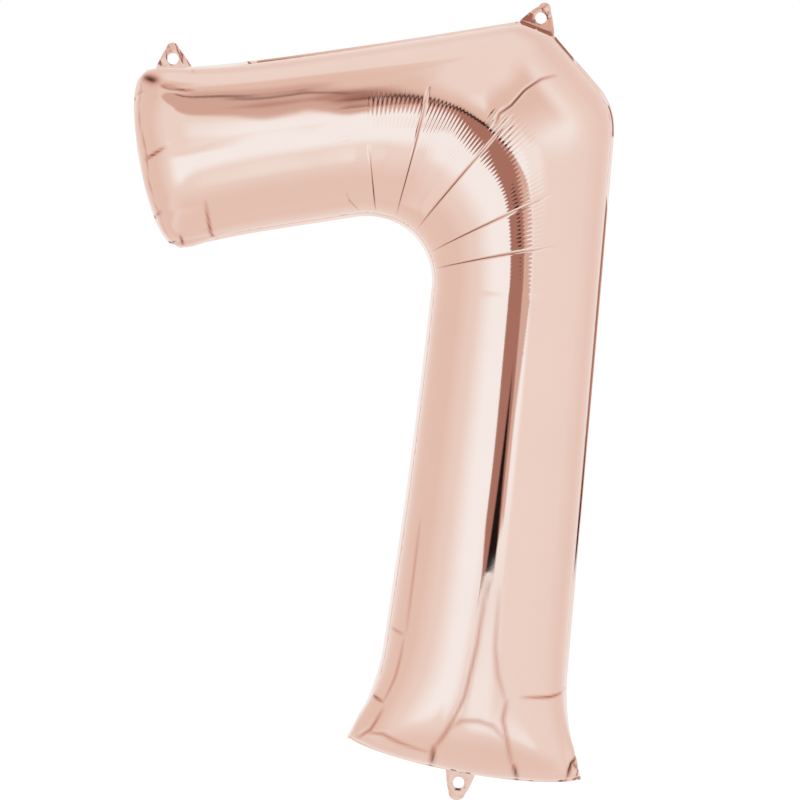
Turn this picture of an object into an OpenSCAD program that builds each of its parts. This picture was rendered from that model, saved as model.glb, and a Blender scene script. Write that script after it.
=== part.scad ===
// Inflated foil number balloon in the shape of a 7.
// Two film panels are welded round their edge, three punched tabs stand out of the weld, and a
// flat two-film valve runs from the bottom tab into the envelope.
// Frame: +Z up, the weld lies in the XZ plane, the front faces -Y.
// The origin is the centre of the hole in the right hang tab.

/* [Envelope] */
// Half the thickness of the inflated bar
bar_depth = 92; // [80:1:98]
// Half the thickness of the inflated leg
leg_depth = 95; // [80:1:102]
// Extra half-thickness at the outer corner
corner_swell = 14; // [0:1:36]
// Radius of the crook under the bar
crook_r = 74; // [60:1:84]
// Radius of the outer corner on the right
shoulder_r = 70; // [60:1:120]
// Length over which the bar's end closes
bar_close = 28; // [20:1:90]
// Length over which the leg's end closes
leg_close = 36; // [24:1:120]
// How far the bar's end edge bows out
bar_bow = 28; // [10:1:35]
// How far the leg's end edge bows out
leg_bow = 17; // [5:1:25]
// How far each corner of the bar's end spreads
bar_flare = 5; // [0:1:10]
// How far each corner of the leg's end spreads
leg_flare = 27; // [10:1:30]

/* [Film and weld] */
// Thickness of each film panel as modelled
film_t = 0.3; // [0.3:0.05:0.5]
// Width of the weld's flat flange
flange_w = 4; // [3:0.5:5]

/* [Tabs] */
// Radius of the punched holes
hole_r = 6.5; // [4:0.5:7]
// Distance from a tab's root to its hole's centre
hole_up = 10.5; // [10:0.5:12]
// Tilt of the right hang tab
right_tilt = -22; // [-26:1:-16]
// Width of a hang tab at its root
hang_w = 41; // [34:1:42]
// Height of a hang tab
hang_h = 29; // [26:1:32]
// Width of the filling tab at its root
fill_w = 33; // [32:1:36]
// Length of the filling tab
fill_h = 31; // [28:1:34]

/* [Valve] */
// Thickness of each valve film as modelled
valve_t = 0.1; // [0.1:0.02:0.12]
// Width of the valve films
valve_w = 24; // [18:1:26]
// Length of the valve's free lips inside the envelope
lip_len = 100; // [70:1:120]

/* [Hidden] */

// Corners of the panel's cut edge before rounding, as [x, z]
bar_end_low = [-413, -257];
crook_corner = [-113, -211];
leg_end_left = [-195.5, -823];
bar_end_top = [-448, -63.5];
shoulder_corner = [86, -101];
leg_end_right = [20, -862];

// Inflation draws the bar's top edge and the leg's left edge in to these points, on wide arcs
bar_waist = [-233, -37.2];
leg_waist = [-146, -492];
waist_r = 7600;

// The right hang tab stands on a straight seat between the bar's top edge and the shoulder
seat_w = 37;
seat_r = 8;
right_along = [cos(right_tilt), sin(right_tilt)];
right_root = -hole_up * [-right_along[1], right_along[0]];
seat_left = right_root - right_along * seat_w / 2;
seat_right = right_root + right_along * seat_w / 2;

rose = [0.90, 0.72, 0.66];
clear_film = [0.85, 0.88, 0.90, 0.5];

flare_len = 115;      // reach of the flare and the bow along the tube
left_tab_near = 10;   // distance of the left hang tab's root from the bar's end
fill_tab_v = -0.02;   // place of the filling tab on the leg's end edge, from -1 to 1
fill_tab_reach = 0.12; // half the filling tab's width on the same scale
hang_tip_r = 7;
fill_tip_r = 9.5;
hang_flank = 0.8;     // a power over 1 makes a tab's flanks hollow, one under 1 makes them full
fill_flank = 0.7;
flank_steps = 8;
pocket_play = 0.5;    // play round the valve's films where they lie between the foil plies
hinge_gap = 1.2;      // free film between the weld's edge and a tab's root
lip_gap = 0.4;        // free film between the valve's throat and its lips
lip_rest = 0.05;      // each lip's distance from the weld plane when shut
bar_steps = 6;
seat_steps = 2;
bend_steps = 14;
leg_steps = 11;
close_steps = 6;
across_steps = 20;
arc_steps = 12;

function lerp(a, b, t) = a + (b - a) * t;
function unit(v) = v / norm(v);
function turned(v) = [-v[1], v[0]];

// Distance from a corner to where its rounding starts
function tangent_len(a, b, c, r) =
    r / tan(acos(unit(a - b) * unit(c - b)) / 2);

// Points of the arc of radius r that rounds corner b of the line a-b-c
function rounding(a, b, c, r) =
    let (u = unit(a - b), w = unit(c - b), half = acos(u * w) / 2,
         centre = b + unit(u + w) * r / sin(half),
         start = b + u * r / tan(half) - centre,
         side = turned(start) * u < 0 ? 1 : -1,
         sweep = side * (180 - 2 * half))
    [for (k = [0:arc_steps]) let (t = sweep * k / arc_steps)
        centre + start * cos(t) + turned(start) * sin(t)];

function path_len(p) = len(p) < 2 ? 0
    : norm(p[1] - p[0]) + path_len([for (k = [1:len(p) - 1]) p[k]]);

// Point at distance d along path p
function along(p, d, k = 0) =
    let (step = norm(p[k + 1] - p[k]))
    d <= step || k == len(p) - 2 ? lerp(p[k], p[k + 1], d / step) : along(p, d - step, k + 1);

inner_path = concat([bar_end_low],
                    rounding(bar_end_low, crook_corner, leg_waist, crook_r),
                    rounding(crook_corner, leg_waist, leg_end_left, waist_r),
                    [leg_end_left]);
outer_path = concat([bar_end_top],
                    rounding(bar_end_top, bar_waist, seat_left, waist_r),
                    rounding(bar_waist, seat_left, seat_right, seat_r),
                    rounding(seat_left, seat_right, shoulder_corner, seat_r),
                    rounding(seat_right, shoulder_corner, leg_end_right, shoulder_r),
                    [leg_end_right]);

// The tube has three zones: 0 to 1 is the bar, 1 to 2 the bend and 2 to 3 the leg.
// These are the distances along each path where the zones meet.
crook_run = tangent_len(bar_end_low, crook_corner, leg_waist, crook_r);
crook_start = crook_corner + unit(bar_end_low - crook_corner) * crook_run;
crook_end = crook_corner + unit(leg_waist - crook_corner) * crook_run;
inner_marks = [0, norm(crook_start - bar_end_low),
               path_len(inner_path) - norm(crook_end - leg_end_left), path_len(inner_path)];
outer_marks = [0, (crook_start - bar_end_top) * unit(seat_left - bar_end_top),
               path_len(outer_path)
                   - (leg_end_right - crook_end) * unit(leg_end_right - shoulder_corner),
               path_len(outer_path)];
bar_len = (inner_marks[1] + outer_marks[1]) / 2;
leg_len = (inner_marks[3] - inner_marks[2] + outer_marks[3] - outer_marks[2]) / 2;

// Tube positions of the two ends of the right hang tab's seat
bend_outer = outer_marks[2] - outer_marks[1];
seat_from = 1 + (norm(seat_left - bar_end_top) - outer_marks[1]) / bend_outer;
seat_to = seat_from + seat_w / bend_outer;

// Distance along a path at tube position q
function mark_at(marks, q) =
    let (z = min(2, floor(q))) lerp(marks[z], marks[z + 1], q - z);

// A station is [tube position, how far it has closed from 0 to 1, pull towards the nearer end]
bar_stations = concat(
    [for (k = [0:close_steps]) let (a = 90 * k / close_steps)
        [(flange_w + bar_close * (1 - cos(a))) / bar_len, sin(a), cos(a)]],
    [for (k = [1:bar_steps]) [lerp((flange_w + bar_close) / bar_len, 1, k / bar_steps), 1, 0]]);
bend_stations = concat(
    [for (k = [1:seat_steps]) [lerp(1, seat_from, k / seat_steps), 1, 0]],
    [for (k = [1:seat_steps]) [lerp(seat_from, seat_to, k / seat_steps), 1, 0]],
    [for (k = [1:bend_steps]) [lerp(seat_to, 2, k / bend_steps), 1, 0]]);
leg_stations = concat(
    [for (k = [1:leg_steps]) [lerp(2, 3 - (flange_w + leg_close) / leg_len, k / leg_steps), 1, 0]],
    [for (k = [1:close_steps]) let (a = 90 - 90 * k / close_steps)
        [3 - (flange_w + leg_close * (1 - cos(a))) / leg_len, sin(a), cos(a)]]);
stations = concat(bar_stations, bend_stations, leg_stations);
last_station = len(stations) - 1;

function end_distance(q) = q < 1.5 ? q * bar_len : (3 - q) * leg_len;
function fade(q) = pow(max(0, 1 - max(0, end_distance(q)) / flare_len), 2);
function flare(q) = fade(q) * (q < 1.5 ? bar_flare : leg_flare);
function bow(q) = fade(q) * (q < 1.5 ? bar_bow : leg_bow);
// A low power makes an end edge flat with tight corners, a high one makes it a smooth bow
function bow_shape(q) = q < 1.5 ? 0.4 : 0.7;
bar_out = unit(bar_end_top - seat_left);
leg_out = unit(leg_end_right - shoulder_corner);
function end_out(q) = q < 1.5 ? bar_out : leg_out;

// Half-thickness of the tube at tube position q, swelling through the bend
function depth(q) =
    let (t = min(1, max(0, q - 1)), swell = pow(sin(180 * min(1, max(0, (q - 0.6) / 1.8))), 2))
    lerp(bar_depth, leg_depth, t) + corner_swell * swell;

// Point of a panel in the weld plane: v runs from -1 at the inner weld line to 1 at the outer one,
// beyond runs over the flange, and inset moves the point inwards for the film's other face
function plane_point(q, v, beyond, inset, pull) =
    let (a = along(inner_path, mark_at(inner_marks, q)),
         b = along(outer_path, mark_at(outer_marks, q)),
         dir = unit(b - a), half = norm(b - a) / 2 - flange_w + flare(q))
    (a + b) / 2 + dir * ((half - inset) * v + beyond)
        + end_out(q) * (bow(q) * pow(max(0, 1 - v * v), bow_shape(q)) - inset * pull);

// One row of a film face: flange edge, weld line, dome, weld line, flange edge.
// Each point is [v, distance over the flange, inset, height above the weld plane].
function film_row(crown, inset) =
    concat([[-1, -flange_w, 0, 0]],
           [for (j = [0:across_steps]) let (a = 180 * j / across_steps)
               [-cos(a), 0, inset, crown * sin(a)]],
           [[1, flange_w, 0, 0]]);

function film_points(inset, lift) =
    let (rows = concat([[stations[0][0] - flange_w / bar_len, 0, 0]], stations,
                       [[stations[last_station][0] + flange_w / leg_len, 0, 0]]))
    [for (s = rows) for (c = film_row(depth(s[0]) * s[1], inset))
        let (p = plane_point(s[0], c[0], c[1], c[2], s[2]))
        [p[0], -lift - c[3], p[1]]];

rows_n = last_station + 3;
cols_n = across_steps + 3;
function at(i, j) = i * cols_n + j;
function quad(a, b, c, d) = [[a, b, c], [a, c, d]];
function flat(lists) = [for (l = lists) for (e = l) e];

// A film panel: outer and inner faces on the same grid, joined round the cut edge
module panel() {
    inner_face = rows_n * cols_n;
    points = concat(film_points(0, film_t), film_points(film_t, 0));
    face_quads = [for (i = [0:rows_n - 2], j = [0:cols_n - 2])
        quad(at(i, j), at(i, j + 1), at(i + 1, j + 1), at(i + 1, j))];
    outside = flat(face_quads);
    inside = [for (f = outside) [f[2], f[1], f[0]] + inner_face * [1, 1, 1]];
    rim = concat([for (j = [0:cols_n - 1]) at(0, j)], [for (i = [1:rows_n - 1]) at(i, cols_n - 1)],
                 [for (j = [cols_n - 2:-1:0]) at(rows_n - 1, j)],
                 [for (i = [rows_n - 2:-1:1]) at(i, 0)]);
    edge = flat([for (k = [0:len(rim) - 1]) let (a = rim[k], b = rim[(k + 1) % len(rim)])
        quad(b, a, a + inner_face, b + inner_face)]);
    polyhedron(points, concat(outside, inside, edge), convexity = 8);
}

// The left hang tab stands on the bar's top edge near the bar's end, and the filling tab on the
// leg's end edge. Each root runs along the line between two points of that edge.
function direction(v) = atan2(v[1], v[0]);
left_from = plane_point(left_tab_near / bar_len, 1, flange_w, 0, 0);
left_to = plane_point((left_tab_near + hang_w) / bar_len, 1, flange_w, 0, 0);
left_root = (left_from + left_to) / 2;
left_tilt = direction(left_to - left_from);
fill_from = plane_point(3, fill_tab_v + fill_tab_reach, 0, 0, 0);
fill_to = plane_point(3, fill_tab_v - fill_tab_reach, 0, 0, 0);
fill_root = (fill_from + fill_to) / 2;
fill_tilt = direction(fill_to - fill_from);

// Places a flat shape, drawn with its root on X and its tip along +Y, in the weld plane
module in_weld_plane(root, angle, y0, t)
    translate([root[0], y0 + t, root[1]])
        rotate([90, 0, 0])
            rotate(angle)
                linear_extrude(t) children();

// Outline of a tab: curved flanks that run into a round tip
module tab_outline(w, h, tip_r, flank)
    polygon(concat(
        [for (k = [0:flank_steps]) let (t = k / flank_steps)
            [tip_r + (w / 2 - tip_r) * pow(1 - t, flank), hinge_gap + (h - tip_r - hinge_gap) * t]],
        [for (a = [15:15:165]) [tip_r * cos(a), h - tip_r + tip_r * sin(a)]],
        [for (k = [flank_steps:-1:0]) let (t = k / flank_steps)
            [-tip_r - (w / 2 - tip_r) * pow(1 - t, flank),
             hinge_gap + (h - tip_r - hinge_gap) * t]]));

// The punch: an exact cylinder through every layer of a tab
module punch(root, angle)
    translate([root[0] + hole_up * cos(angle + 90), 0, root[1] + hole_up * sin(angle + 90)])
        rotate([90, 0, 0]) cylinder(h = 4, r = hole_r, center = true, $fn = 64);

module hang_ply(root, angle, y0)
    color(rose) difference() {
        in_weld_plane(root, angle, y0, film_t) tab_outline(hang_w, hang_h, hang_tip_r, hang_flank);
        punch(root, angle);
    }

// A rectangle as wide as the valve, from distance a to distance b beyond the weld's edge
module valve_strip(a, b, w = valve_w)
    translate([-w / 2, a]) square([w, b - a]);

// The mouth reaches from the root to just past the hole's centre, the throat through the weld
mouth_end = hole_up + 2;
throat_in = -(flange_w + 2);

module filling_ply(y0, pocket_y)
    color(rose) difference() {
        in_weld_plane(fill_root, fill_tilt, y0, film_t)
            tab_outline(fill_w, fill_h, fill_tip_r, fill_flank);
        punch(fill_root, fill_tilt);
        in_weld_plane(fill_root, fill_tilt, pocket_y, valve_t)
            valve_strip(0, mouth_end + pocket_play, valve_w + 2 * pocket_play);
    }

module valve_mouth(y0)
    color(clear_film) difference() {
        in_weld_plane(fill_root, fill_tilt, y0, valve_t) valve_strip(hinge_gap, mouth_end);
        punch(fill_root, fill_tilt);
    }

module valve_throat(y0)
    color(clear_film)
        in_weld_plane(fill_root, fill_tilt, y0, valve_t) valve_strip(throat_in, 0);

module valve_lip(y0)
    color(clear_film)
        in_weld_plane(fill_root, fill_tilt, y0, valve_t)
            valve_strip(throat_in - lip_gap - lip_len, throat_in - lip_gap);

// The slot that a panel's flange leaves for the valve's throat
module throat_slot(y0)
    in_weld_plane(fill_root, fill_tilt, y0, valve_t)
        valve_strip(throat_in - 2, 2, valve_w + 2 * pocket_play);

module front_panel()
    color(rose) difference() {
        panel();
        throat_slot(-valve_t);
    }

module back_panel()
    color(rose) difference() {
        mirror([0, 1, 0]) panel();
        throat_slot(0);
    }

module left_hang_tab_front_ply() hang_ply(left_root, left_tilt, -film_t);
module left_hang_tab_back_ply() hang_ply(left_root, left_tilt, 0);
module right_hang_tab_front_ply() hang_ply(right_root, right_tilt, -film_t);
module right_hang_tab_back_ply() hang_ply(right_root, right_tilt, 0);
module filling_tab_front_ply() filling_ply(-film_t, -valve_t);
module filling_tab_back_ply() filling_ply(0, 0);
module valve_mouth_front() valve_mouth(-valve_t);
module valve_mouth_back() valve_mouth(0);
module valve_throat_front() valve_throat(-valve_t);
module valve_throat_back() valve_throat(0);
module valve_lip_front() valve_lip(-valve_t - lip_rest);
module valve_lip_back() valve_lip(lip_rest);

front_panel();
back_panel();
left_hang_tab_front_ply();
left_hang_tab_back_ply();
right_hang_tab_front_ply();
right_hang_tab_back_ply();
filling_tab_front_ply();
filling_tab_back_ply();
valve_mouth_front();
valve_mouth_back();
valve_throat_front();
valve_throat_back();
valve_lip_front();
valve_lip_back();
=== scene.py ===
"""Looks of an inflated rose-gold foil figure 7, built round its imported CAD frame.

Metres, +Z up. The weld lies in the XZ plane, the front faces -Y, and the origin is the centre of
the right hang tab's hole.
"""
import math

import bpy
import numpy as np
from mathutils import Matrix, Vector


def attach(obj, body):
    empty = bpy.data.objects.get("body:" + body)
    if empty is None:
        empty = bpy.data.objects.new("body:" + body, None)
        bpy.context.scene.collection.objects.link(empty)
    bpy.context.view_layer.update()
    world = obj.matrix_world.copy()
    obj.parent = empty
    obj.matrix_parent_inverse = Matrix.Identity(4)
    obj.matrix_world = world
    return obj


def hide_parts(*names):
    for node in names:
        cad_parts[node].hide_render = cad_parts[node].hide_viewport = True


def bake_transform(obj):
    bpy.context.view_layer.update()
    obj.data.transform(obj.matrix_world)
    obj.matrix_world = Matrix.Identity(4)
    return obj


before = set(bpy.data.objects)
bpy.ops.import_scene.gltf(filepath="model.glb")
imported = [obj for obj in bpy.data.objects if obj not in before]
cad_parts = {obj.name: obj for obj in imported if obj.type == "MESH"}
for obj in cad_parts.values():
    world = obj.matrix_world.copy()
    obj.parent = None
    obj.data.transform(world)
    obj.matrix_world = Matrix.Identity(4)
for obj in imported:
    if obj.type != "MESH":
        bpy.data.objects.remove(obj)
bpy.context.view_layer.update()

# ---------------------------------------------------------------- outline, as in the CAD model

BAR_DEPTH = 0.092
LEG_DEPTH = 0.095
CORNER_SWELL = 0.010    # a little less than in the CAD model: the gas swells the film further
SWELL_START = 0.6       # tube position where the swell round the corner starts
SWELL_SPAN = 1.8
CROOK_R = 0.074
SHOULDER_R = 0.070
BAR_CLOSE = 0.028
LEG_CLOSE = 0.036
BAR_BOW = 0.028
LEG_BOW = 0.017
BAR_FLARE = 0.005
LEG_FLARE = 0.027
FLARE_LEN = 0.115
FLANGE_W = 0.004
HOLE_UP = 0.0105
RIGHT_TILT = math.radians(-22)
SEAT_W = 0.037
SEAT_R = 0.008
WAIST_R = 7.6

BAR_END_LOW = np.array([-0.413, -0.257])
CROOK_CORNER = np.array([-0.113, -0.211])
LEG_END_LEFT = np.array([-0.1955, -0.823])
BAR_END_TOP = np.array([-0.448, -0.0635])
SHOULDER_CORNER = np.array([0.086, -0.101])
LEG_END_RIGHT = np.array([0.020, -0.862])
BAR_WAIST = np.array([-0.233, -0.0372])
LEG_WAIST = np.array([-0.146, -0.492])
RIGHT_ALONG = np.array([math.cos(RIGHT_TILT), math.sin(RIGHT_TILT)])
RIGHT_ROOT = -HOLE_UP * np.array([-RIGHT_ALONG[1], RIGHT_ALONG[0]])
SEAT_LEFT = RIGHT_ROOT - RIGHT_ALONG * SEAT_W / 2
SEAT_RIGHT = RIGHT_ROOT + RIGHT_ALONG * SEAT_W / 2


def unit(v):
    """v at length 1."""
    return v / np.linalg.norm(v)


def turned(v):
    """v after a quarter turn."""
    return np.array([-v[1], v[0]])


def rounding(a, b, c, r, steps=24):
    """Points of the arc of radius r that rounds corner b of the line a-b-c."""
    u, w = unit(a - b), unit(c - b)
    half = math.acos(u @ w) / 2
    centre = b + unit(u + w) * r / math.sin(half)
    start = b + u * r / math.tan(half) - centre
    side = 1 if turned(start) @ u < 0 else -1
    angles = np.linspace(0, side * (math.pi - 2 * half), steps)[:, None]
    return centre + start * np.cos(angles) + turned(start) * np.sin(angles)


def run_lengths(path):
    """Distance run along a path at each of its points."""
    return np.concatenate([[0], np.cumsum(np.linalg.norm(np.diff(path, axis=0), axis=1))])


def along(path, distance):
    """Points at the given distances along a path, which runs on straight past both its ends."""
    run = run_lengths(path)
    inside = np.clip(distance, 0, run[-1])
    points = np.stack([np.interp(inside, run, path[:, k]) for k in range(2)], axis=-1)
    before = np.minimum(distance, 0)[..., None] * unit(path[1] - path[0])
    after = np.maximum(distance - run[-1], 0)[..., None] * unit(path[-1] - path[-2])
    return points + before + after


CROOK = rounding(BAR_END_LOW, CROOK_CORNER, LEG_WAIST, CROOK_R)
INNER = np.vstack([BAR_END_LOW,
                   CROOK,
                   rounding(CROOK_CORNER, LEG_WAIST, LEG_END_LEFT, WAIST_R),
                   LEG_END_LEFT])
OUTER = np.vstack([BAR_END_TOP,
                   rounding(BAR_END_TOP, BAR_WAIST, SEAT_LEFT, WAIST_R),
                   rounding(BAR_WAIST, SEAT_LEFT, SEAT_RIGHT, SEAT_R, 8),
                   rounding(SEAT_LEFT, SEAT_RIGHT, SHOULDER_CORNER, SEAT_R, 8),
                   rounding(SEAT_RIGHT, SHOULDER_CORNER, LEG_END_RIGHT, SHOULDER_R),
                   LEG_END_RIGHT])
CROOK_START, CROOK_END = CROOK[0], CROOK[-1]
INNER_RUN = run_lengths(INNER)
OUTER_RUN = run_lengths(OUTER)
INNER_MARKS = np.array([0, INNER_RUN[1], INNER_RUN[len(CROOK)], INNER_RUN[-1]])
OUTER_MARKS = np.array([0, (CROOK_START - BAR_END_TOP) @ unit(SEAT_LEFT - BAR_END_TOP),
                        OUTER_RUN[-1] - (LEG_END_RIGHT - CROOK_END) @ unit(LEG_END_RIGHT - SHOULDER_CORNER),
                        OUTER_RUN[-1]])
BAR_LEN = (INNER_MARKS[1] + OUTER_MARKS[1]) / 2
LEG_LEN = (INNER_MARKS[3] - INNER_MARKS[2] + OUTER_MARKS[3] - OUTER_MARKS[2]) / 2
BAR_OUT = unit(BAR_END_TOP - SEAT_LEFT)
LEG_OUT = unit(LEG_END_RIGHT - SHOULDER_CORNER)


def weld_point(q, v, beyond=0.0):
    """Point in the weld plane at tube position q (0 to 3), v across it from -1 to 1."""
    q, v, beyond = np.broadcast_arrays(q, v, beyond)
    a = along(INNER, np.interp(q, range(4), INNER_MARKS))
    b = along(OUTER, np.interp(q, range(4), OUTER_MARKS))
    width = np.linalg.norm(b - a, axis=-1)
    across = (b - a) / width[..., None]
    bar = q < 1.5
    to_end = np.maximum(np.where(bar, q * BAR_LEN, (3 - q) * LEG_LEN), 0)
    fade = np.maximum(0, 1 - to_end / FLARE_LEN) ** 2
    half = width / 2 - FLANGE_W + fade * np.where(bar, BAR_FLARE, LEG_FLARE)
    bow = fade * np.where(bar, BAR_BOW, LEG_BOW)
    crown = np.maximum(0, 1 - v * v) ** np.where(bar, 0.4, 0.7)
    out = np.where(bar[..., None], BAR_OUT, LEG_OUT)
    return (a + b) / 2 + across * (half * v + beyond)[..., None] + out * (bow * crown)[..., None]


def tube_depth(q):
    """Half-thickness of the tube, which swells through the bend."""
    t = np.clip(q - 1, 0, 1)
    swell = np.sin(math.pi * np.clip((q - SWELL_START) / SWELL_SPAN, 0, 1)) ** 2
    return BAR_DEPTH + (LEG_DEPTH - BAR_DEPTH) * t + CORNER_SWELL * swell


# ---------------------------------------------------------------- smooth start of the film

PANEL_COLUMNS = 65
STEP = 0.004            # film grid along the bar and the leg
BEND_STEP = 0.0025      # finer round the bend, where the film pleats
BAR_TURN = 1.9          # length of the film over a closing end, as a multiple of the end's depth
LEG_TURN = 1.6
BAR_FLAT_LEN = 0.07     # the tube's crown flattens over this length towards each end weld
LEG_FLAT_LEN = 0.20
BAR_FLATNESS = 0.35
LEG_FLATNESS = 0.5


def stations():
    """Tube positions from end weld to end weld, and how far the tube has closed at each."""
    bar_turn = np.linspace(0, math.pi / 2, round(BAR_CLOSE * BAR_TURN / STEP))
    leg_turn = np.linspace(math.pi / 2, 0, round(LEG_CLOSE * LEG_TURN / STEP))
    bar_from = (FLANGE_W + BAR_CLOSE) / BAR_LEN
    leg_to = 3 - (FLANGE_W + LEG_CLOSE) / LEG_LEN
    bend_run = (INNER_MARKS[2] - INNER_MARKS[1] + OUTER_MARKS[2] - OUTER_MARKS[1]) / 2
    q = np.concatenate([
        (FLANGE_W + BAR_CLOSE * (1 - np.cos(bar_turn))) / BAR_LEN,
        np.linspace(bar_from, 1, round((1 - bar_from) * BAR_LEN / STEP))[1:],
        np.linspace(1, 2, round(bend_run / BEND_STEP))[1:],
        np.linspace(2, leg_to, round((leg_to - 2) * LEG_LEN / STEP))[1:],
        3 - (FLANGE_W + LEG_CLOSE * (1 - np.cos(leg_turn[1:]))) / LEG_LEN])
    closed = np.ones(len(q))
    closed[:len(bar_turn)] = np.sin(bar_turn)
    closed[-len(leg_turn):] = np.sin(leg_turn)
    return q, closed


def smooth_dome(q, closed):
    """The back panel before it settles: a grid of points, station by station, weld to weld."""
    angle = np.linspace(0, math.pi, PANEL_COLUMNS)
    flat = weld_point(q[:, None], -np.cos(angle)[None, :])
    flat_bar = np.clip(1 - q * BAR_LEN / BAR_FLAT_LEN, 0, 1) ** 2
    flat_leg = np.clip(1 - (3 - q) * LEG_LEN / LEG_FLAT_LEN, 0, 1) ** 2
    power = 1 - BAR_FLATNESS * flat_bar - LEG_FLATNESS * flat_leg
    height = (tube_depth(q) * closed)[:, None] * np.sin(angle)[None, :] ** power[:, None]
    return np.stack([flat[..., 0], height, flat[..., 1]], axis=-1)


# ---------------------------------------------------------------- inflation of the film

ROUNDS = 240
PUSH = 0.00004          # how far the gas pushes the film out in each round
KEEP_SPEED = 0.9        # share of a film point's speed left for the next round
WELD_HOLD = np.array([0.12, 0.03, 0.12])    # the weld is held loosely across its plane
GRAIN = 0.0001          # unevenness of the flat film, from which its buckles grow
# Extra film, as a share of its length
BEND_EXTRA = 0.008
EDGE_EXTRA = 0.006
END_EXTRA = 0.012


def window(value, low, high, soft):
    """1 between low and high, fading to 0 over soft on both sides."""
    rise = np.clip((value - low) / soft + 1, 0, 1)
    fall = np.clip((high - value) / soft + 1, 0, 1)
    t = rise * fall
    return t * t * (3 - 2 * t)


def film_links(film, along_extra, across_extra):
    """Every pair of film points that holds its distance, in sets with no point in common."""
    rows, cols = film.shape[1:3]
    links = []
    for down, right, stiffness in ((1, 0, 1.0), (0, 1, 1.0), (1, 1, 0.6), (1, -1, 0.6),
                                   (2, 0, 0.05), (0, 2, 0.05)):
        stride = max(down, abs(right))
        for phase in range(2):
            if down:
                i = np.arange(rows - down)
                i = i[(i // stride) % 2 == phase][:, None]
                j = np.arange(max(0, -right), cols - max(0, right))[None, :]
            else:
                i = np.arange(rows)[:, None]
                j = np.arange(cols - right)
                j = j[(j // stride) % 2 == phase][None, :]
            first, second = (slice(None), i, j), (slice(None), i + down, j + right)
            rest = np.linalg.norm(film[second] - film[first], axis=-1)
            share = (down > 0) * along_extra + (right != 0) * across_extra
            share = share / (2 if down and right else 1)
            rest = rest * (1 + (share[i, j] + share[i + down, j + right]) / 2)
            links.append((first, second, rest, stiffness))
    return links


def outward(film):
    """Unit normals of both panels, pointing out of the balloon."""
    down = np.zeros_like(film)
    right = np.zeros_like(film)
    down[:, 1:-1] = film[:, 2:] - film[:, :-2]
    right[:, :, 1:-1] = film[:, :, 2:] - film[:, :, :-2]
    normal = np.cross(down, right) * np.array([1, -1])[:, None, None, None]
    return normal / np.maximum(np.linalg.norm(normal, axis=-1, keepdims=True), 1e-9)


def inflate(film, start, along_extra, across_extra):
    """Let two welded film panels buckle and settle under gas pressure.

    film is the seeded shape, start the smooth one whose lengths, with the extra shares added,
    the film keeps.
    """
    links = film_links(start, along_extra, across_extra)
    speed = np.zeros_like(film)
    for count in range(ROUNDS):
        if count % 4 == 0:
            normal = outward(film)
        before = film.copy()
        film = film + speed * KEEP_SPEED + normal * PUSH * (1 - 0.8 * count / ROUNDS)
        for first, second, rest, stiffness in links:
            a, b = film[first], film[second]
            gap = b - a
            length = np.sqrt(np.einsum("...k,...k", gap, gap))
            shift = gap * (stiffness / 2 * (1 - rest / np.maximum(length, 1e-7)))[..., None]
            film[first] = a + shift
            film[second] = b - shift
        for weld in ((slice(None), 0), (slice(None), -1), (0,), (-1,)):
            joined = film[(slice(None), *weld)].mean(axis=0)
            film[(slice(None), *weld)] = joined * (1 - WELD_HOLD) + start[(0, *weld)] * WELD_HOLD
        speed = film - before
    return film


def settled_film():
    """Both panels after inflation, and their tube positions."""
    q, closed = stations()
    back = smooth_dome(q, closed)
    start = np.stack([back * [1, -1, 1], back])
    rows, cols = q[:, None], np.linspace(0, 1, PANEL_COLUMNS)[None, :]
    to_bar_end, to_leg_end = rows * BAR_LEN, (3 - rows) * LEG_LEN
    to_weld = np.minimum(cols, 1 - cols)
    near_end = window(to_bar_end, -1, 0.012, 0.05) + window(to_leg_end, -1, 0.015, 0.075)
    rng = np.random.default_rng(7)
    grain = rng.normal(0, GRAIN, start.shape[:3])
    film = start - outward(start) * grain[..., None]

    bend = window(rows, 1.02, 1.98, 0.1)
    inner = window(cols, 0.06, 0.36, 0.12)
    along_extra = BEND_EXTRA * bend * inner + EDGE_EXTRA * window(to_weld, -1, 0.01, 0.07)
    across_extra = END_EXTRA * near_end
    return inflate(film, start, along_extra, across_extra), q


# ---------------------------------------------------------------- finer film for the render

EASE_ROWS = 8           # rows to each side that the easing of the bar into the bend averages


def eased(film, q):
    """A settled panel with the kink smoothed out where the bar runs into the bend."""
    offsets = np.arange(-EASE_ROWS, EASE_ROWS + 1)
    weights = np.cos(offsets * math.pi / (2 * EASE_ROWS + 2)) ** 2
    rows = np.clip(np.arange(len(film))[:, None] + offsets, 0, len(film) - 1)
    smooth = np.einsum("k,ikjc->ijc", weights / weights.sum(), film[rows])
    return film + (smooth - film) * window(q, 0.90, 1.10, 0.12)[:, None, None]


def resampled(grid, positions):
    """Rows of a grid at fractional row positions, on a smooth curve through them all."""
    last = len(grid) - 1
    base = np.clip(np.floor(positions).astype(int), 0, last - 1)
    t = (positions - base).reshape(-1, *[1] * (grid.ndim - 1))
    p0, p1 = grid[np.maximum(base - 1, 0)], grid[base]
    p2, p3 = grid[base + 1], grid[np.minimum(base + 2, last)]
    return 0.5 * (2 * p1 + (p2 - p0) * t + (2 * p0 - 5 * p1 + 4 * p2 - p3) * t ** 2
                  + (3 * p1 - p0 - 3 * p2 + p3) * t ** 3)


COMB_PITCH = 0.0046
COMB_DEPTH = 0.000035
PLEAT_W = 0.0011        # half-width of a pleat at the crook
CORNER_FOLD_W = 0.0042  # half-width of the fold that stands open in the bar's top corner; its dark spot is painted reflection
BAR_CREASE_W = 0.0020   # half-width of a crease near the bar's end, or from a side weld
LEG_CREASE_W = 0.0028   # half-width of a crease near the leg's end weld
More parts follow.
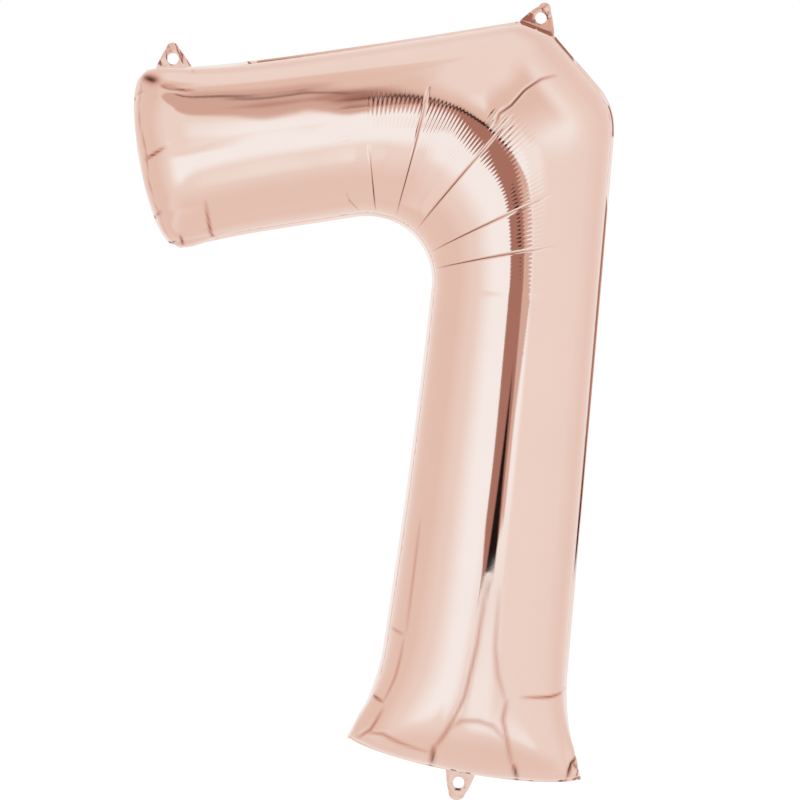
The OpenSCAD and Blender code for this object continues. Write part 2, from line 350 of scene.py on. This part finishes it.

# Creases, each a line of places (q, v) with v from 0 at the inner weld to 1 at the outer one,
# and the crease's depth, which both cuts the crease into the film and sets its painted shade.
PLEATS = (
    (((1.04, 0.05), (0.98, 0.25)), 0.0006),
    (((1.16, 0.04), (1.09, 0.42)), 0.0012),
    (((1.32, 0.03), (1.24, 0.60)), 0.0013),
    (((1.51, 0.03), (1.49, 0.58)), 0.0013),
    (((1.72, 0.03), (1.73, 0.60)), 0.0013),
    (((1.85, 0.02), (1.87, 0.64)), 0.0013),
)
CORNER_FOLDS = (
    (((0.05, 0.86), (0.11, 0.81)), 0.0016),
)
SHOULDER_CREASES = (
    (((1.47, 0.53), (1.46, 0.56), (1.47, 0.60), (1.47, 0.66), (1.48, 0.73), (1.50, 0.80)), 0.0011),
)
BAR_END_CREASES = (
    (((0.10, 0.81), (0.17, 0.75), (0.24, 0.73), (0.27, 0.73)), 0.0006),
    (((0.09, 0.15), (0.06, 0.05)), 0.0013),
    (((0.22, 0.00), (0.22, 0.10), (0.25, 0.30)), 0.0010),
    (((0.00, 0.08), (0.05, 0.11)), 0.0012),
    (((0.00, 0.27), (0.06, 0.29)), 0.0010),
    (((0.05, 0.49), (0.08, 0.50), (0.13, 0.52)), 0.0011),
    (((0.00, 0.75), (0.06, 0.77)), 0.0008),
    (((0.04, 0.11), (0.045, 0.28), (0.06, 0.52), (0.045, 0.76), (0.05, 0.84)), 0.0006),
    (((0.27, 1.00), (0.27, 0.84)), 0.0005),
)
LEG_END_CREASES = (
    (((2.50, 0.19), (2.62, 0.195), (2.745, 0.20)), 0.0004),
    (((2.76, 0.19), (2.84, 0.185), (2.90, 0.165)), 0.0005),
    (((2.60, 0.50), (2.74, 0.49), (2.85, 0.47), (2.93, 0.43)), 0.0006),
    (((2.62, 0.545), (2.74, 0.555), (2.80, 0.575), (2.85, 0.61)), 0.0004),
    (((2.91, 0.18), (2.96, 0.15), (2.985, 0.11)), 0.0007),
    (((2.965, 0.15), (2.955, 0.22), (2.965, 0.40)), 0.0006),
    (((3.00, 0.41), (2.95, 0.40)), 0.0011),
    (((2.96, 0.40), (2.92, 0.43), (2.87, 0.46)), 0.0006),
    (((2.92, 0.43), (2.895, 0.47), (2.89, 0.52), (2.895, 0.57), (2.93, 0.63)), 0.0005),
    (((3.00, 0.66), (2.96, 0.64)), 0.0012),
    (((2.97, 0.64), (2.88, 0.60), (2.84, 0.61)), 0.0006),
    (((3.00, 0.84), (2.96, 0.90), (2.94, 1.00)), 0.0012),
    (((3.00, 0.92), (2.975, 0.96), (2.96, 0.90)), 0.0012),
    (((2.995, 0.65), (2.99, 0.76), (2.995, 0.90)), 0.0012),
)
LEG_SIDE_CREASES = (
    (((2.74, 0.02), (2.75, 0.19)), 0.0006),
    (((2.892, 0.02), (2.898, 0.17)), 0.0011),
    (((2.835, 0.66), (2.83, 0.80), (2.815, 1.00)), 0.0009),
)
DARK_DEPTH = 0.0012     # a crease this deep gets the darkest painted shade

# Lobes: their valleys' tube positions or places across the tube, and how high they rise
CROOK_LOBES = (0.90, 1.04, 1.16, 1.32, 1.51, 1.73, 1.86, 2.02)
BAR_END_LOBES = (0, 0.09, 0.28, 0.52, 0.76, 1)
LEG_END_LOBES = (0, 0.15, 0.41, 0.64, 0.87, 1)
CROOK_LOBE_RISE = 0.0008
BAR_END_LOBE_RISE = 0.0022
LEG_END_LOBE_RISE = 0.0026
BAR_END_LOBE_REACH = 0.018    # distance from the end weld at which the lobes are highest
LEG_END_LOBE_REACH = 0.022
PUCKER_RISE = 0.0007


def crease(q, v, per_q, per_v, places, width):
    """How deep each film point lies in a crease along a line of places, from 0 to 1."""
    deepest = np.zeros_like(q)
    for k, (a, b) in enumerate(zip(places, places[1:])):
        off_q, off_v = (q - a[0]) * per_q, (v - a[1]) * per_v
        line_q, line_v = (b[0] - a[0]) * per_q, (b[1] - a[1]) * per_v
        t = np.clip((off_q * line_q + off_v * line_v) / (line_q ** 2 + line_v ** 2), 0, 1)
        away = np.hypot(off_q - t * line_q, off_v - t * line_v)
        share = (k + t) / (len(places) - 1)
        fade = np.sqrt(np.sin(math.pi * share) + 0.05)
        deepest = np.maximum(deepest, np.exp(-(away / width) ** 2) * fade)
    return deepest


def lobes(value, lines):
    """Rounded rises between a row of lines, with a sharp valley at each."""
    return np.abs(np.sin(math.pi * np.interp(value, lines, range(len(lines)))))


def puckers(run, away):
    """Short sharp gathers where the film runs into a weld."""
    strength = 1 + 0.6 * np.sin(run * 47) + 0.5 * np.sin(run * 113 + 1)
    gathers = (1 - 2 * np.abs(np.sin(run * 200 + 2 * np.sin(run * 31)))) * strength
    return gathers * np.exp(-away / 0.008) * (1 - np.exp(-away / 0.002))


def finer_film(film, q, outward_sign):
    """A settled panel on a fine grid, with its creases, end lobes and short corrugations, and the painted
    shade of its creases and puckers.
    """
    plain = ((q > 0.30) & (q < 0.85)) | ((q > 2.12) & (q < 2.72))
    bend = (q > 1) & (q < 2)
    counts = np.where(bend, 3, np.where(plain, 1, 2))[:-1]
    positions = np.concatenate([i + np.arange(n) / n for i, n in enumerate(counts)] + [[len(q) - 1.0]])
    grid = resampled(eased(film, q), positions)
    halves = np.arange(2 * PANEL_COLUMNS - 1) / 2
    grid = resampled(grid.transpose(1, 0, 2), halves).transpose(1, 0, 2)
    fine_q = np.interp(positions, range(len(q)), q)[:, None] * np.ones((1, grid.shape[1]))
    v = np.linspace(0, 1, grid.shape[1])[None, :] * np.ones((len(grid), 1))
    down, right = np.gradient(grid, axis=0), np.gradient(grid, axis=1)
    per_q = np.linalg.norm(down, axis=-1) / np.maximum(np.gradient(fine_q, axis=0), 1e-6)
    per_v = np.linalg.norm(right, axis=-1) / np.gradient(v, axis=1)

    crown = grid[:, grid.shape[1] // 2]
    run = run_lengths(crown)[:, None]
    drift = 1 + 0.35 * np.sin(run * 31) + 0.2 * np.sin(run * 83)
    slant = v + 0.3 * (fine_q - 1.25)
    comb = 1.2 * window(fine_q, 1.12, 1.42, 0.05) * window(slant, 0.46, 0.53, 0.05)
    comb += 1.5 * window(fine_q, 1.47, 1.82, 0.05) * window(v, 0.45, 0.55, 0.06)
    comb += 0.5 * window(fine_q, 1.84, 2.08, 0.1) * window(v, 0.47, 0.55, 0.05)
    comb += 0.25 * window(fine_q, 0.84, 1.1, 0.1) * window(v, 0.2, 0.3, 0.1)
    lift = COMB_DEPTH * comb * drift * np.sin(run * 2 * math.pi / COMB_PITCH)

    shade = np.zeros_like(lift)
    for creases, width, sharpness in ((PLEATS, PLEAT_W, 2.5), (CORNER_FOLDS, CORNER_FOLD_W, 0.4),
                                      (SHOULDER_CREASES + BAR_END_CREASES, BAR_CREASE_W, 1.3),
                                      (LEG_SIDE_CREASES, BAR_CREASE_W, 1.3),
                                      (LEG_END_CREASES, LEG_CREASE_W, 1)):
        for places, depth in creases:
            deep = crease(fine_q, v, per_q, per_v, places, width)
            lift -= depth * deep
            # painted shade: the deeper a crease, the darker the foil's colour along it
            shade = np.maximum(shade, deep ** sharpness * min(1, depth / DARK_DEPTH))
    round_bend = window(fine_q, 1.10, 1.80, 0.20)
    by_crook = window(v, 0.08, 0.25, 0.2) * window(v, 0.05, 1, 0.05)
    lift += CROOK_LOBE_RISE * lobes(fine_q, CROOK_LOBES) * round_bend * by_crook
    to_bar_end = fine_q * BAR_LEN / BAR_END_LOBE_REACH
    to_leg_end = (3 - fine_q) * LEG_LEN / LEG_END_LOBE_REACH
    lift += BAR_END_LOBE_RISE * lobes(v, BAR_END_LOBES) * to_bar_end * np.exp(1 - to_bar_end)
    lift += LEG_END_LOBE_RISE * lobes(v, LEG_END_LOBES) * to_leg_end * np.exp(1 - to_leg_end)
    gathers = puckers(run, v * per_v) + puckers(run + 0.7, (1 - v) * per_v)
    lift += PUCKER_RISE * gathers
    # painted shade in the valleys of the puckers
    shade = np.maximum(shade, np.clip(-gathers - 0.4, 0, 0.45))
    normal = np.cross(down, right) * outward_sign
    normal /= np.maximum(np.linalg.norm(normal, axis=-1, keepdims=True), 1e-9)
    at_weld = np.minimum(np.minimum(fine_q * BAR_LEN, (3 - fine_q) * LEG_LEN) - FLANGE_W,
                         np.minimum(v, 1 - v) * per_v)
    return grid + normal * (lift * np.clip(at_weld / 0.002, 0, 1))[..., None], shade


FLANGE_RINGS = 3
PLY_GAP = 0.00012
# Slopes at which the loose edge of the weld leans back. At the shoulder it flutters.
INNER_LEAN = 0.22
OUTER_LEAN = -0.09
SHOULDER_LEAN = 0.17
BAR_TOP_LEAN = 0.52
SEAT_LEAN = 0.24
EDGE_CURL = 0.17


def with_flange(grid, side):
    """The grid with the weld's flat margin added all round it. side is -1 in front, 1 behind."""
    rows, cols = grid.shape[:2]
    wide = np.zeros((rows + 2 * FLANGE_RINGS, cols + 2 * FLANGE_RINGS, 3))
    core = (slice(FLANGE_RINGS, -FLANGE_RINGS),) * 2
    wide[core] = grid
    bar_out = np.array([BAR_OUT[0], 0, BAR_OUT[1]])
    leg_out = np.array([LEG_OUT[0], 0, LEG_OUT[1]])
    for ring in range(1, FLANGE_RINGS + 1):
        reach = FLANGE_W * ring / FLANGE_RINGS
        i0, i1 = FLANGE_RINGS - ring, rows + FLANGE_RINGS - 1 + ring
        j0, j1 = FLANGE_RINGS - ring, cols + FLANGE_RINGS - 1 + ring
        for j, edge, inner in ((j0, 0, -1), (j1, -1, 0)):
            across = grid[:, edge] - grid[:, inner]
            across[:, 1] = 0
            across /= np.linalg.norm(across, axis=-1, keepdims=True)
            wide[FLANGE_RINGS:-FLANGE_RINGS, j] = grid[:, edge] + across * reach
        wide[i0, FLANGE_RINGS:-FLANGE_RINGS] = grid[0] + bar_out * reach
        wide[i1, FLANGE_RINGS:-FLANGE_RINGS] = grid[-1] + leg_out * reach
    for rows_out, edge_row, end_out in ((range(FLANGE_RINGS), FLANGE_RINGS, bar_out),
                                        (range(-FLANGE_RINGS, 0), -FLANGE_RINGS - 1, leg_out)):
        for i in rows_out:
            ring = FLANGE_RINGS - i if i >= 0 else FLANGE_RINGS + 1 + i
            reach = FLANGE_W * ring / FLANGE_RINGS
            wide[i, :FLANGE_RINGS] = wide[edge_row, :FLANGE_RINGS] + end_out * reach
            wide[i, -FLANGE_RINGS:] = wide[edge_row, -FLANGE_RINGS:] + end_out * reach
    i, j = np.indices(wide.shape[:2])
    ring = FLANGE_RINGS - np.minimum(np.minimum(i, len(wide) - 1 - i), np.minimum(j, wide.shape[1] - 1 - j))
    reach = FLANGE_W * np.maximum(ring, 0) / FLANGE_RINGS
    x, z = wide[..., 0], wide[..., 2]
    outer = j >= wide.shape[1] - FLANGE_RINGS
    flutter = np.clip(2 * np.sin(83 * x + 61 * z + 2 * np.sin(41 * z - 29 * x)), 0, 1)
    shoulder = window(z, -0.19, 1, 0.03) * window(x, 0.016, 1, 0.02)
    bar_top = window(x, -0.325, -0.03, 0.006)
    seat = window(x, -0.024, 0.014, 0.004)
    outer_lean = SHOULDER_LEAN * flutter * shoulder + BAR_TOP_LEAN * bar_top + SEAT_LEAN * seat + OUTER_LEAN
    lean = np.where(outer, outer_lean, INNER_LEAN)
    curl = EDGE_CURL * outer * np.maximum(reach - FLANGE_W * 0.67, 0)
    wide[..., 1] += side * PLY_GAP + lean * reach + curl
    return wide


def grid_mesh(name, grid, flip=False):
    """A smooth-shaded mesh object from a grid of points."""
    rows, cols = grid.shape[:2]
    index = np.arange(rows * cols).reshape(rows, cols)
    corners = [index[:-1, :-1], index[:-1, 1:], index[1:, 1:], index[1:, :-1]]
    faces = np.stack(corners[::-1] if flip else corners, axis=-1)
    mesh = bpy.data.meshes.new(name)
    mesh.from_pydata(grid.reshape(-1, 3).tolist(), [], faces.reshape(-1, 4).tolist())
    mesh.shade_smooth()
    piece = bpy.data.objects.new(name, mesh)
    bpy.context.scene.collection.objects.link(piece)
    return piece


def paint(piece, name, colours):
    """Put a colour for each point of a grid mesh in an attribute of its own."""
    flat = colours.reshape(-1, 3)
    layer = piece.data.color_attributes.new(name, "FLOAT_COLOR", "POINT")
    layer.data.foreach_set("color", np.hstack([flat, np.ones((len(flat), 1))]).ravel())


def make_panels():
    """The front and the back film, from weld to weld and with the weld's margin."""
    film, q = settled_film()
    made = []
    for name, node, panel, side in (("front_film", "front_panel", film[0], -1),
                                    ("back_film", "back_panel", film[1], 1)):
        fine, shade = finer_film(panel, q, -side)
        piece = grid_mesh(name, with_flange(fine, side), flip=side < 0)
        piece.visible_glossy = False
        # painted shade of the creases and puckers, carried on across the weld's margin
        paint(piece, "crease", np.pad(shade, FLANGE_RINGS, mode="edge")[..., None] * np.ones(3))
        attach(piece, "envelope")
        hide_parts(node)
        made.append(piece)
    return made


# ---------------------------------------------------------------- crinkled tabs

HANG_TAB = {"width": 0.041, "height": 0.029, "tip": 0.007, "flank": 0.8}
FILL_TAB = {"width": 0.033, "height": 0.031, "tip": 0.0095, "flank": 0.7}
HOLE_R = 0.0065
HINGE_GAP = 0.0012
TAB_OVERLAP = 0.0030    # the tab's film runs this far into the weld
TAB_SPOKES = 160
TAB_RINGS = 20
HANG_CRUMPLE = 0.0009   # depth of the crinkles
FILL_CRUMPLE = 0.0003
HANG_PUFF = 0.0002      # how far the plies stand apart between their edges
FILL_PUFF = 0.0005
# How far the loose film of each tab leans to its left and to the back, as slopes
LEFT_TAB_LEAN = (-0.06, 0)
RIGHT_TAB_LEAN = (-0.11, 0.10)
FILL_TAB_LEAN = (0, 0)


def tab_outline(width, height, tip, flank, spokes):
    """Distance from the hole's centre to the tab's edge, in each of the spokes' directions."""
    t = np.linspace(0, 1, 40)
    root_w = width / 2
    side = np.stack([tip + (root_w - tip) * (1 - t) ** flank, (height - tip) * t], axis=-1)
    turn = np.linspace(0, math.pi / 2, 20)[1:]
    cap = np.stack([tip * np.cos(turn), height - tip + tip * np.sin(turn)], axis=-1)
    right = np.vstack([[[0, -TAB_OVERLAP], [root_w, -TAB_OVERLAP]], side, cap])
    left = right[::-1][1:] * [-1, 1]
    edge = np.vstack([right, left]) - [0, HOLE_UP]
    bearing = np.unwrap(np.arctan2(edge[:, 1], edge[:, 0]))
    wanted = bearing[0] + np.linspace(0, 2 * math.pi, spokes + 1)
    reach = np.interp(wanted, bearing, np.linalg.norm(edge, axis=-1))
    return wanted, reach


def crinkle(x, z, rng, depth):
    """Sharp random folds over a flat patch of foil."""
    height = np.zeros_like(x)
    for octave in range(5):
        bearing = rng.uniform(0, math.pi)
        pitch = rng.uniform(0.010, 0.024)
        phase = rng.uniform(0, 2 * math.pi)
        wave = (x * math.cos(bearing) + z * math.sin(bearing)) * 2 * math.pi / pitch + phase
        height += depth / (octave + 2) * (1 - 2 * np.abs(np.sin(wave / 2)))
    return height


def make_tab(name, root, tilt, shape, crumple, lean, puff, rng):
    """Both plies of one tab, as crinkled film with a punched hole, puff apart between the edges."""
    bearing, reach = tab_outline(**shape, spokes=TAB_SPOKES)
    t = np.linspace(0, 1, TAB_RINGS)[:, None]
    radius = HOLE_R + (reach[None, :] - HOLE_R) * t
    x = radius * np.cos(bearing)
    z = radius * np.sin(bearing) + HOLE_UP
    aside, back = lean
    fold = (crinkle(x, z, rng, crumple) - aside * x) * np.clip((z - HINGE_GAP) / 0.01, 0, 1)
    fold += back * np.maximum(z, 0)
    ux, uz = math.cos(tilt), math.sin(tilt)
    for side, ply in ((-1, "front"), (1, "back")):
        apart = PLY_GAP + puff * np.sin(math.pi * t)
        points = np.stack([root[0] + x * ux - z * uz, fold + side * apart,
                           root[1] + x * uz + z * ux], axis=-1)
        piece = grid_mesh(f"{name}_{ply}_film", points, flip=side > 0)
        weld = piece.modifiers.new("close", "WELD")
        weld.merge_threshold = 0.00001
        piece.visible_glossy = False
        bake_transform(piece)
        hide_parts(f"{name}_{ply}_ply")
        yield piece


def edge_root(a, b):
    """Middle and tilt of the line between two points of the weld plane."""
    return (a + b) / 2, math.atan2(b[1] - a[1], b[0] - a[0])


LEFT_TAB_NEAR = 0.010   # distance of the left hang tab from the bar's end
FILL_TAB_V = -0.02      # place of the filling tab's middle across the leg's end
FILL_TAB_REACH = 0.12   # to each side of it, the weld's line that the tab stands on


def make_tabs():
    """The films of the two hang tabs and the filling tab."""
    rng = np.random.default_rng(11)
    left_root, left_tilt = edge_root(
        weld_point(LEFT_TAB_NEAR / BAR_LEN, 1, FLANGE_W),
        weld_point((LEFT_TAB_NEAR + HANG_TAB["width"]) / BAR_LEN, 1, FLANGE_W))
    fill_root, fill_tilt = edge_root(weld_point(3, FILL_TAB_V + FILL_TAB_REACH),
                                     weld_point(3, FILL_TAB_V - FILL_TAB_REACH))
    tabs = (("left_hang_tab", left_root, left_tilt, HANG_TAB, HANG_CRUMPLE, LEFT_TAB_LEAN, HANG_PUFF),
            ("right_hang_tab", RIGHT_ROOT, RIGHT_TILT, HANG_TAB, HANG_CRUMPLE, RIGHT_TAB_LEAN, HANG_PUFF),
            ("filling_tab", fill_root, fill_tilt, FILL_TAB, FILL_CRUMPLE, FILL_TAB_LEAN, FILL_PUFF))
    return [piece for tab in tabs for piece in make_tab(*tab, rng)]


# ---------------------------------------------------------------- materials

FOIL_COLOUR = (0.842, 0.634, 0.551)
SOFT_FOLD_REFLECTION = (0.63, 0.335, 0.26)        # painted reflection in a shallow crease, where foil reflects foil
SHARP_FOLD_SHADE = (0.05, 0.017, 0.012)      # painted shade at the bottom of a sharp crease
TAB_SHADED_COLOUR = (0.76, 0.49, 0.40)        # crumpled film, painted darker for the shade its small folds cast on each other


def noise(nodes, links, scale, detail=2.0):
    """A noise texture on the object's own coordinates, in metres."""
    place = nodes.new("ShaderNodeTexCoord")
    texture = nodes.new("ShaderNodeTexNoise")
    texture.inputs["Scale"].default_value = scale
    texture.inputs["Detail"].default_value = detail
    links.new(place.outputs["Object"], texture.inputs["Vector"])
    return texture.outputs["Fac"]


def map_range(nodes, links, value, low, high, start=0.3, end=0.7):
    """value's range from start to end, turned into low to high."""
    ramp = nodes.new("ShaderNodeMapRange")
    ramp.inputs["From Min"].default_value = start
    ramp.inputs["From Max"].default_value = end
    ramp.inputs["To Min"].default_value = low
    ramp.inputs["To Max"].default_value = high
    links.new(value, ramp.inputs["Value"])
    return ramp.outputs["Result"]


def foil_material(name, base, roughness, grain):
    """Metallised film: a tinted mirror with a faint cast of its rolled, slightly grainy surface, darkened
    in its creases by painted shade and painted reflection.
    """
    material = bpy.data.materials.new(name)
    material.use_nodes = True
    nodes, links = material.node_tree.nodes, material.node_tree.links
    shader = nodes["Principled BSDF"]
    shader.inputs["Metallic"].default_value = 1.0
    tint = nodes.new("ShaderNodeMix")
    tint.data_type = "RGBA"
    tint.inputs["A"].default_value = (*base, 1)
    tint.inputs["B"].default_value = (*(c * 0.98 for c in base), 1)
    links.new(map_range(nodes, links, noise(nodes, links, 9), 0, 1), tint.inputs["Factor"])
    # painted shade and painted reflection: the crease attribute darkens the foil's colour along creases and
    # puckers
    fold = nodes.new("ShaderNodeAttribute")
    fold.attribute_name = "crease"
    colour = tint.outputs["Result"]
    for deeper, start, end in ((SOFT_FOLD_REFLECTION, 0, 0.5), (SHARP_FOLD_SHADE, 0.5, 1)):
        shaded = nodes.new("ShaderNodeMix")
        shaded.data_type = "RGBA"
        shaded.inputs["B"].default_value = (*deeper, 1)
        links.new(colour, shaded.inputs["A"])
        links.new(map_range(nodes, links, fold.outputs["Fac"], 0, 1, start, end), shaded.inputs["Factor"])
        colour = shaded.outputs["Result"]
    links.new(colour, shader.inputs["Base Color"])
    rough = map_range(nodes, links, noise(nodes, links, 25), roughness * 0.8, roughness * 1.4)
    links.new(rough, shader.inputs["Roughness"])
    bump = nodes.new("ShaderNodeBump")
    bump.inputs["Distance"].default_value = grain
    bump.inputs["Strength"].default_value = 0.5
    links.new(noise(nodes, links, 900, 3), bump.inputs["Height"])
    links.new(bump.outputs["Normal"], shader.inputs["Normal"])
    return material


def clear_film_material(name):
    """Clear polyethylene, faintly hazy."""
    material = bpy.data.materials.new(name)
    material.use_nodes = True
    nodes, links = material.node_tree.nodes, material.node_tree.links
    shader = nodes["Principled BSDF"]
    shader.inputs["Base Color"].default_value = (0.9, 0.92, 0.94, 1)
    shader.inputs["Alpha"].default_value = 0.5
    links.new(map_range(nodes, links, noise(nodes, links, 60), 0.15, 0.35), shader.inputs["Roughness"])
    return material


# ---------------------------------------------------------------- stage, light and camera

FRAME_W = 0.9096
VIEW_CENTRE = Vector((-0.1603, 0, -0.4343))
CAMERA_DISTANCE = 4.0
SENSOR_W = 36
DOME_R = 1.6
FLOOR_Z = -1.5
FLOOR_REACH = 9


def emitter(name):
    """A material that shines with the colour painted on the mesh."""
    material = bpy.data.materials.new(name)
    material.use_nodes = True
    nodes, links = material.node_tree.nodes, material.node_tree.links
    nodes.clear()
    tone = nodes.new("ShaderNodeAttribute")
    tone.attribute_name = "tone"
    glow = nodes.new("ShaderNodeEmission")
    out = nodes.new("ShaderNodeOutputMaterial")
    links.new(tone.outputs["Color"], glow.inputs["Color"])
    links.new(glow.outputs["Emission"], out.inputs["Surface"])
    material.cycles.emission_sampling = "NONE"
    return material


# Light of the studio's parts, in linear red, green and blue
MID = np.array([1.0, 1.0, 1.0])
BRIGHT = np.array([1.10, 1.29, 1.40])
WARM = np.array([0.905, 0.78, 0.73])
SHADE = np.array([0.76, 0.58, 0.53])
GAP_SIDE = np.array([0.78, 0.60, 0.55])
GAP = np.array([0.46, 0.25, 0.21])
LINE = np.array([0.13, 0.06, 0.05])
BLACK = np.array([0.015, 0.01, 0.01])
# Lower edge of the ceiling's soft box: degrees right of the camera, and degrees up
CEILING = ((-60, -46, -38, -32, -22, -19, -17, -6, 5, 11, 16, 26, 35, 56, 84, 108),
           (71, 70, 68, 64.5, 60, 57.5, 54.5, 35, 24.5, 21, 30, 36.5, 39.5, 46, 49, 47))
# Sides of the gap between the soft boxes, and of the dark window in it: degrees up, and degrees
# right of the camera
GAP_LEFT = ((-8, -5, -2, 1, 8, 12, 20, 28, 34, 37, 39, 46, 48, 50),
            (-2, -5, -4, -5.2, -5.2, -4.8, -5.2, -6.5, -7.5, -9.5, -12.6, -12.7, -14.5, -17))
GAP_RIGHT = ((-9, -8, -7, -3, 0, 2, 5, 9, 18, 25), (-2, 10, 17, 17, 22, 24, 22, 18, 12, 12))
CORE_LEFT = ((-8, -1.5), (2, 8))
CORE_RIGHT = ((-8, -1.5), (12, 9))
# How far the walls behind turn from plain to warm: degrees right of the camera, and share
WALL = ((-180, -135, -92, -63, -45, 60, 95, 125, 160, 180),
        (0.6, 0.9, 0.9, 0.25, 0, 0, 0.1, 0.7, 0.9, 0.6))


def studio_tone(azimuth, elevation):
    """Colour of the studio in each direction: degrees right of the camera, and degrees up."""
    def blend(tone, colour, mask):
        return tone + (colour - tone) * mask[..., None]
    below = elevation - np.interp(azimuth, *CEILING)
    left, right = np.interp(elevation, *GAP_LEFT), np.interp(elevation, *GAP_RIGHT)
    core_left, core_right = np.interp(elevation, *CORE_LEFT), np.interp(elevation, *CORE_RIGHT)
    in_gap = window(elevation, -9, 75, 1) * window(below, -90, 0, 0.7)
    tone = MID * np.ones((*azimuth.shape, 1))
    wall_foot = np.interp(np.abs(azimuth), (110, 150), (-26, -50))
    tone = blend(tone, WARM, np.interp(azimuth, *WALL) * window(elevation, wall_foot, 50, 18))
    tone = blend(tone, WARM, window(elevation, -95, -72, 50) * 0.75)
    box_foot = np.interp(azimuth, (-24, -8), (-14, 0))
    soft_box = window(azimuth, -12, 22, 14) * window(elevation, 26, 34, 12)
    for strength, box in ((1, window(azimuth, -10, 22, 6) * window(elevation, box_foot, 30, 20)),
                          (1, window(azimuth, -24, -8, 34) * window(elevation, box_foot, 90, 20)
                           * window(elevation, -90, 7, 6)),
                          (0.7, window(azimuth, 48, 68, 30) * window(elevation, 34, 44, 22)),
                          (0.6, window(azimuth, 26, 34, 12) * window(elevation, 10, 22, 10)),
                          (0.75, window(azimuth, 4, 16, 16) * window(elevation, -30, -18, 15)),
                          (0.6, window(azimuth, 22, 42, 16) * window(elevation, -32, -28, 13))):
        soft_box = np.maximum(soft_box, box * strength)
    tone = blend(tone, BRIGHT, soft_box)
    tone = blend(tone, WARM, window(below, 0, 6, 16) * window(azimuth, -90, 60, 25))
    tone = blend(tone, SHADE, window(below, -11, 1.5, 4) * window(azimuth, -75, -2, 15))
    tone = blend(tone, GAP, 0.65 * window(below, -5, 0.5, 3) * window(azimuth, -21, -17, 6))
    tone = blend(tone, GAP_SIDE, in_gap * window(azimuth, left, right, 1.2))
    tone = blend(tone, GAP, in_gap * window(azimuth, left, np.minimum(right, 12.5), 1.2))
    tone = blend(tone, BLACK, window(elevation, -8.5, -1.5, 1) * window(azimuth, core_left, core_right, 1))
    tone = blend(tone, LINE, window(below, -0.35, 0.35, 0.4) * window(azimuth, -62, 12, 12) * 0.8)
    tone = blend(tone, LINE, window(below, -0.9, 0.9, 0.6) * window(azimuth, 12, 18, 6))
    tone = blend(tone, BLACK, window(below, -1.9, 0.4, 0.7) * window(azimuth, -14.5, 12, 1.5))
    return tone


def make_dome():
    """A dome that only the gloss sees: soft boxes, the gap between them and warm flags."""
    elevation = np.linspace(-90, 90, 361)[:, None]
    azimuth = np.linspace(-180, 180, 721)[None, :]
    e, a = np.radians(elevation), np.radians(azimuth)
    points = DOME_R * np.stack(np.broadcast_arrays(
        np.cos(e) * np.sin(a), -np.cos(e) * np.cos(a), np.sin(e)), axis=-1) + np.array(VIEW_CENTRE)
    dome = grid_mesh("studio_dome", points)
    paint(dome, "tone", studio_tone(*np.broadcast_arrays(azimuth, elevation)))
    dome.data.materials.append(emitter("studio_tone"))
    dome.visible_camera = False
    dome.visible_diffuse = False
    dome.visible_transmission = False
    dome.visible_shadow = False


def make_stage():
    """The camera, the white studio and its floor."""
    scene = bpy.context.scene
    scene.view_settings.view_transform = "Standard"
    data = bpy.data.cameras.new("camera")
    data.sensor_width = SENSOR_W
    data.lens = SENSOR_W * CAMERA_DISTANCE / FRAME_W
    camera = bpy.data.objects.new("camera", data)
    camera.location = VIEW_CENTRE + Vector((0, -CAMERA_DISTANCE, 0))
    camera.rotation_euler = (math.pi / 2, 0, 0)
    scene.collection.objects.link(camera)
    scene.camera = camera
    world = bpy.data.worlds.new("studio")
    world.use_nodes = True
    world.node_tree.nodes["Background"].inputs["Color"].default_value = (1, 1, 1, 1)
    scene.world = world
    edges = (-FLOOR_REACH, FLOOR_REACH)
    floor = grid_mesh("floor", np.array([[[x, y, FLOOR_Z] for x in edges] for y in edges], dtype=float))
    pale = bpy.data.materials.new("pale_floor")
    pale.use_nodes = True
    shader = pale.node_tree.nodes["Principled BSDF"]
    shader.inputs["Base Color"].default_value = (0.9, 0.9, 0.9, 1)
    shader.inputs["Roughness"].default_value = 0.9
    shader.inputs["Emission Color"].default_value = (1, 1, 1, 1)
    shader.inputs["Emission Strength"].default_value = 0.12
    floor.data.materials.append(pale)
    floor.visible_glossy = False


foil = foil_material("rose_gold_foil", FOIL_COLOUR, roughness=0.045, grain=0.00002)
tab_foil = foil_material("crinkled_shaded_foil", TAB_SHADED_COLOUR, roughness=0.1, grain=0.00006)
clear_film = clear_film_material("clear_film")
for piece in make_panels():
    piece.data.materials.append(foil)
for piece in make_tabs():
    piece.data.materials.append(tab_foil)
for name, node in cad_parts.items():
    if name.startswith("valve_"):
        node.data.materials.clear()
        node.data.materials.append(clear_film)
make_dome()
make_stage()
